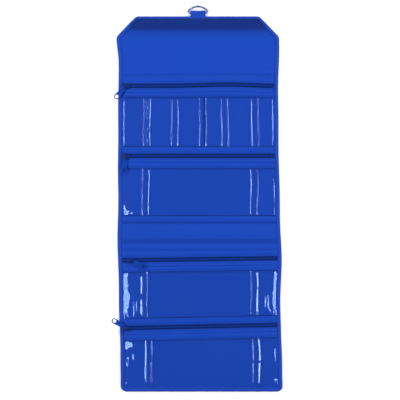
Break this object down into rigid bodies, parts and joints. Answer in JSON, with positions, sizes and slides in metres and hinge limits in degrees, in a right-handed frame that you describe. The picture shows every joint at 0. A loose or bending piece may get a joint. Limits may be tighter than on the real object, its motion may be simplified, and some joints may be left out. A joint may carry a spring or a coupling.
{
  "type": "travel jewelry case",
  "caption": "Flat-laid fold-up case with clear zipped pockets on padded panels, a folding flap and a hanging ring.",
  "frame": {"origin": "on the back of the case, midway between its sides and midway between its two ends", "axes": "+Z out of the pockets, +Y towards the hanging ring, +X to the right seen from the front"},
  "size_m": [0.2497, 0.5805, 0.011],
  "materials": {
    "shell": "coated woven fabric",
    "lining": "coated woven fabric",
    "pocket_fabric": "coated woven fabric",
    "binding": "ribbed tape",
    "webbing": "woven webbing",
    "foam": "thin padding",
    "zip_tape": "woven tape",
    "zip_coil": "nylon coil",
    "zip_metal": "glossy enamel",
    "clear_vinyl": "clear glossy film",
    "ring_metal": "polished nickel",
    "magnet": "plated disc"
  },
  "bodies": {
    "upper_panel": {"upper_binding": "binding", "upper_foam": "foam", "upper_lining": "lining", "upper_shell": "shell", "pocket_1_header": "pocket_fabric", "pocket_1_band": "pocket_fabric", "pocket_1_hem": "pocket_fabric", "pocket_2_band": "pocket_fabric", "pocket_2_hem": "pocket_fabric", "pocket_1_window": "clear_vinyl", "pocket_2_window": "clear_vinyl", "pocket_1_zip_tape": "zip_tape", "pocket_1_zip_coil": "zip_coil", "pocket_2_zip_tape": "zip_tape", "pocket_2_zip_coil": "zip_coil"},
    "flap_base": {"flap_base_binding": "binding", "flap_base_foam": "foam", "flap_base_lining": "lining", "flap_base_shell": "shell"},
    "flap_end": {"flap_end_binding": "binding", "flap_end_foam": "foam", "flap_end_lining": "lining", "flap_end_shell": "shell", "flap_magnets": "magnet", "ring_webbing": "webbing"},
    "spine": {"spine_binding": "binding", "spine_lining": "lining", "spine_shell": "shell"},
    "lower_panel": {"lower_binding": "binding", "lower_foam": "foam", "lower_lining": "lining", "lower_shell": "shell", "panel_magnets": "magnet", "pocket_3_header": "pocket_fabric", "pocket_3_band": "pocket_fabric", "pocket_3_hem": "pocket_fabric", "pocket_4_band": "pocket_fabric", "pocket_3_window": "clear_vinyl", "pocket_4_window": "clear_vinyl", "pocket_3_zip_tape": "zip_tape", "pocket_3_zip_coil": "zip_coil", "pocket_4_zip_tape": "zip_tape", "pocket_4_zip_coil": "zip_coil"},
    "ring": {"hanging_ring": "ring_metal"},
    "slider_1": {"pocket_1_slider": "zip_metal"},
    "link_1": {"pocket_1_pull_link": "zip_metal"},
    "tab_1": {"pocket_1_pull_tab": "zip_metal"},
    "slider_2": {"pocket_2_slider": "zip_metal"},
    "link_2": {"pocket_2_pull_link": "zip_metal"},
    "tab_2": {"pocket_2_pull_tab": "zip_metal"},
    "slider_3": {"pocket_3_slider": "zip_metal"},
    "link_3": {"pocket_3_pull_link": "zip_metal"},
    "tab_3": {"pocket_3_pull_tab": "zip_metal"},
    "slider_4": {"pocket_4_slider": "zip_metal"},
    "link_4": {"pocket_4_pull_link": "zip_metal"},
    "tab_4": {"pocket_4_pull_tab": "zip_metal"}
  },
  "joints": [
    {"name": "flap_fold", "type": "hinge", "parent": "upper_panel", "child": "flap_base", "pos_m": [0, 0.18575, 0.0048], "axis": [1, 0, 0], "range_deg": [0, 90]},
    {"name": "flap_crease", "type": "hinge", "parent": "flap_base", "child": "flap_end", "pos_m": [0, 0.23775, 0.0048], "axis": [1, 0, 0], "range_deg": [0, 90]},
    {"name": "upper_fold", "type": "hinge", "parent": "upper_panel", "child": "spine", "pos_m": [0, -0.03525, 0.0048], "axis": [-1, 0, 0], "range_deg": [0, 90]},
    {"name": "lower_fold", "type": "hinge", "parent": "spine", "child": "lower_panel", "pos_m": [0, -0.07625, 0.0048], "axis": [-1, 0, 0], "range_deg": [0, 90]},
    {"name": "ring_swing", "type": "hinge", "parent": "flap_end", "child": "ring", "pos_m": [0, 0.27905, 0.0031], "axis": [-1, 0, 0], "range_deg": [-105, 0]},
    {"name": "zip_1_slide", "type": "slide", "parent": "upper_panel", "child": "slider_1", "axis": [1, 0, 0], "range_m": [0, 0.215]},
    {"name": "pull_1_swing", "type": "hinge", "parent": "slider_1", "child": "link_1", "pos_m": [-0.1075, 0.16875, 0.0096], "axis": [0, 0, 1], "range_deg": [-90, 90]},
    {"name": "pull_1_lift", "type": "hinge", "parent": "link_1", "child": "tab_1", "pos_m": [-0.11045, 0.16535, 0.0096], "axis": [-0.7547, 0.6561, 0], "range_deg": [0, 120]},
    {"name": "zip_2_slide", "type": "slide", "parent": "upper_panel", "child": "slider_2", "axis": [1, 0, 0], "range_m": [0, 0.2155]},
    {"name": "pull_2_swing", "type": "hinge", "parent": "slider_2", "child": "link_2", "pos_m": [-0.108, 0.06375, 0.0096], "axis": [0, 0, 1], "range_deg": [-90, 90]},
    {"name": "pull_2_lift", "type": "hinge", "parent": "link_2", "child": "tab_2", "pos_m": [-0.10855, 0.05928, 0.0096], "axis": [-0.9925, 0.1219, 0], "range_deg": [0, 120]},
    {"name": "zip_3_slide", "type": "slide", "parent": "lower_panel", "child": "slider_3", "axis": [0.9999, 0.014, 0], "range_m": [0, 0.2085]},
    {"name": "pull_3_swing", "type": "hinge", "parent": "slider_3", "child": "link_3", "pos_m": [-0.101, -0.09266, 0.0096], "axis": [0, 0, 1], "range_deg": [-90, 90]},
    {"name": "pull_3_lift", "type": "hinge", "parent": "link_3", "child": "tab_3", "pos_m": [-0.09689, -0.09451, 0.0096], "axis": [-0.4099, -0.9121, 0], "range_deg": [0, 120]},
    {"name": "zip_4_slide", "type": "slide", "parent": "lower_panel", "child": "slider_4", "axis": [0.9998, 0.021, 0], "range_m": [0, 0.214]},
    {"name": "pull_4_swing", "type": "hinge", "parent": "slider_4", "child": "link_4", "pos_m": [-0.1065, -0.19429, 0.0096], "axis": [0, 0, 1], "range_deg": [-90, 90]},
    {"name": "pull_4_lift", "type": "hinge", "parent": "link_4", "child": "tab_4", "pos_m": [-0.11037, -0.19198, 0.0096], "axis": [0.512, 0.859, 0], "range_deg": [0, 120]}
  ]
}
